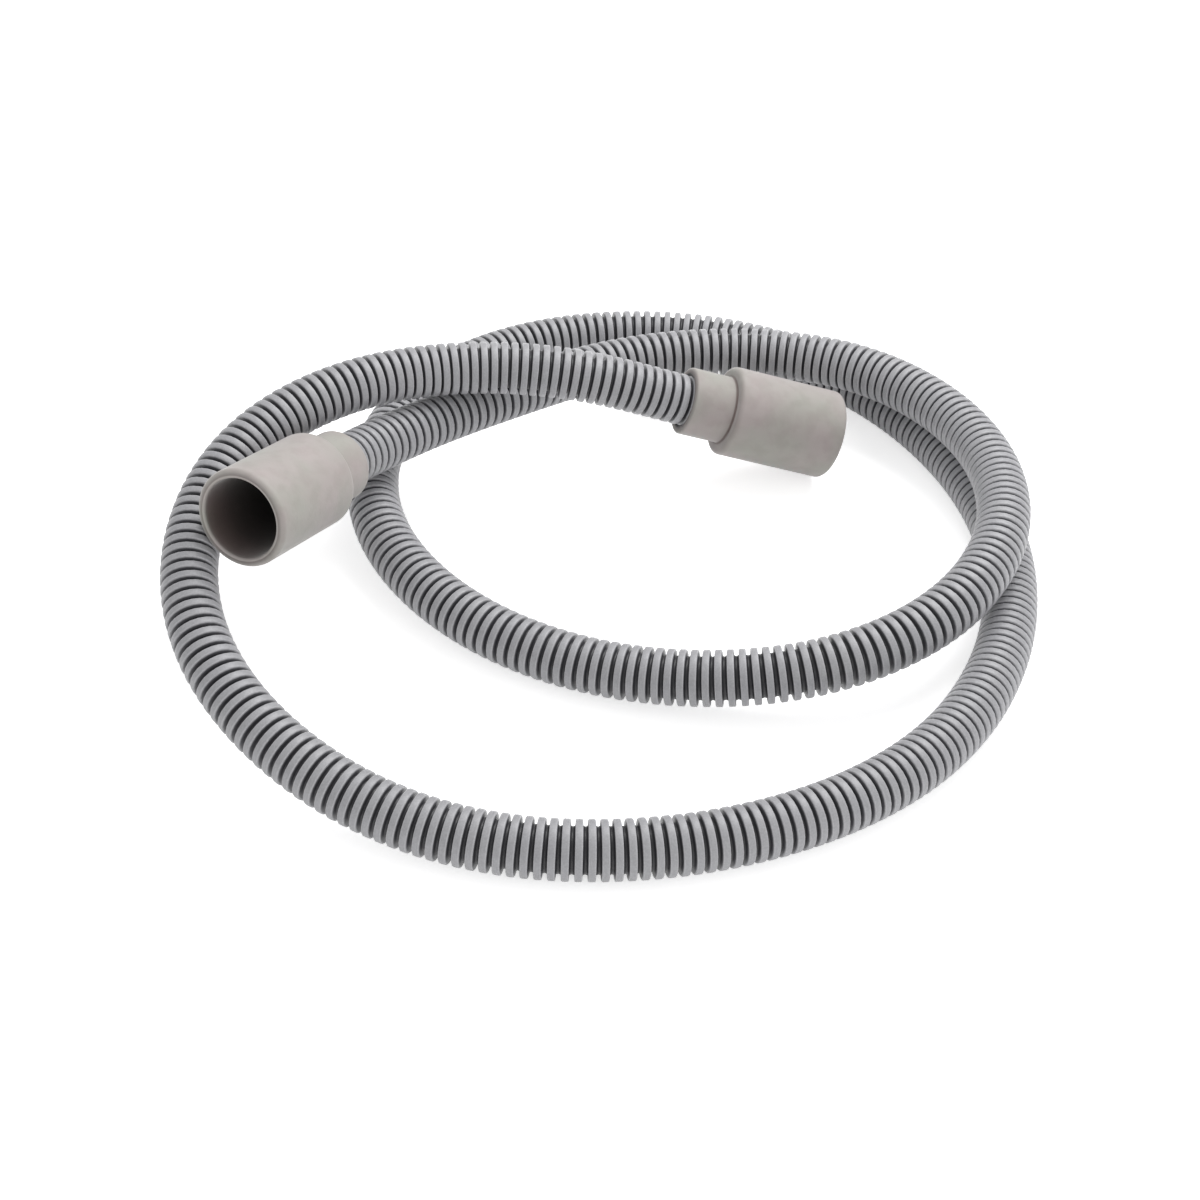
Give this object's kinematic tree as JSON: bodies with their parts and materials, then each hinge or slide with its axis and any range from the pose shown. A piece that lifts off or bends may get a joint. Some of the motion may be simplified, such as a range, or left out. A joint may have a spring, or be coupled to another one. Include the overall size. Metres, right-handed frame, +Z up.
{
  "type": "washer dryer pump hose",
  "caption": "Corrugated grey plastic drain hose, loosely coiled, with a stepped rubber socket cuff on each end that pushes onto a pump outlet or a waste spigot.",
  "frame": {"origin": "middle of the coiled hose's bounding box, on the surface it lies on", "axes": "+Z up from the surface; +X to the right and +Y away from the viewer in the view of the reference picture"},
  "size_m": [0.3404, 0.3506, 0.0815],
  "materials": {
    "hose": "satin light grey",
    "cuff": "matte warm grey"
  },
  "bodies": {
    "root": {"hose": "hose", "raised_cuff": "cuff", "low_cuff": "cuff"}
  },
  "joints": []
}
